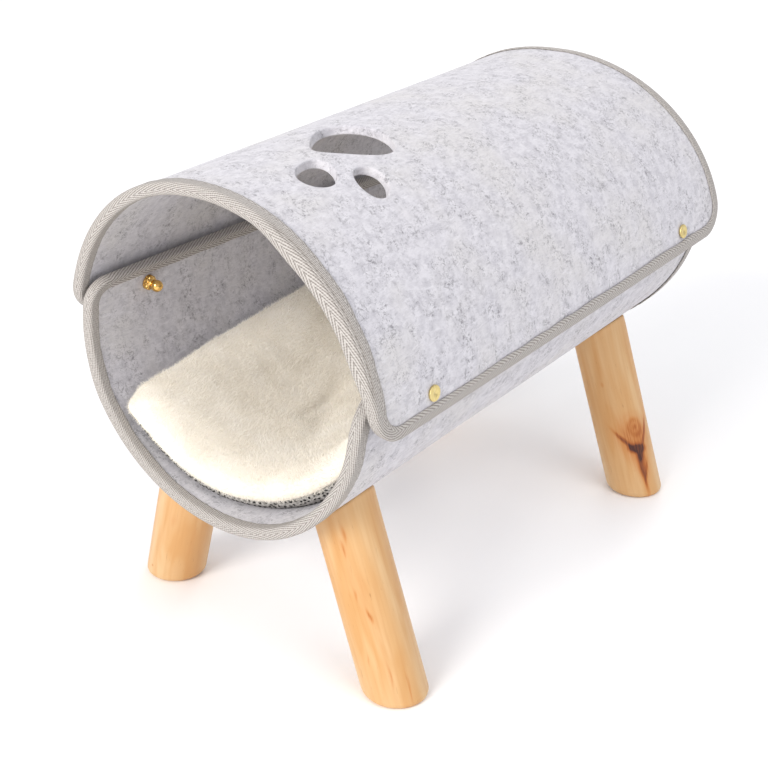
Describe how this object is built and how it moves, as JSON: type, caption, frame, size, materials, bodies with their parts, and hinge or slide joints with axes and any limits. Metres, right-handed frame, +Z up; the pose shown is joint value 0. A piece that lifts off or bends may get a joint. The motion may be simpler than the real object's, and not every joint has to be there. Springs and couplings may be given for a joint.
{
  "type": "cat tunnel bed",
  "caption": "Cat bed of stiff felt rolled into an open-ended tunnel, with taped edges and paw-shaped cut-outs, on splayed round wooden legs, with a plush cushion lying inside",
  "frame": {"origin": "on the floor under the middle of the bed's bounding box", "axes": "+X across the tunnel, +Y along it from the front mouth to the back, +Z up"},
  "size_m": [0.2704, 0.4294, 0.3308],
  "materials": {
    "felt": "matte pressed felt with darker fibre flecks",
    "binding": "herringbone twill tape with a soft sheen",
    "brass": "polished",
    "pine": "peeled and sanded, clear and satin",
    "plush": "short cream pile",
    "dotted_cloth": "knitted cloth with rubbery dots"
  },
  "bodies": {
    "root": {"felt_top": "felt", "felt_bottom": "felt", "binding_top": "binding", "binding_bottom": "binding", "stud_screw_front_right": "brass", "stud_ball_front_right": "brass", "stud_screw_back_right": "brass", "stud_ball_back_right": "brass", "stud_screw_front_left": "brass", "stud_ball_front_left": "brass", "stud_screw_back_left": "brass", "stud_ball_back_left": "brass", "leg_front_right": "pine", "leg_front_left": "pine", "leg_back_right": "pine", "leg_back_left": "pine", "cushion": "plush", "cushion_base": "dotted_cloth"}
  },
  "joints": []
}
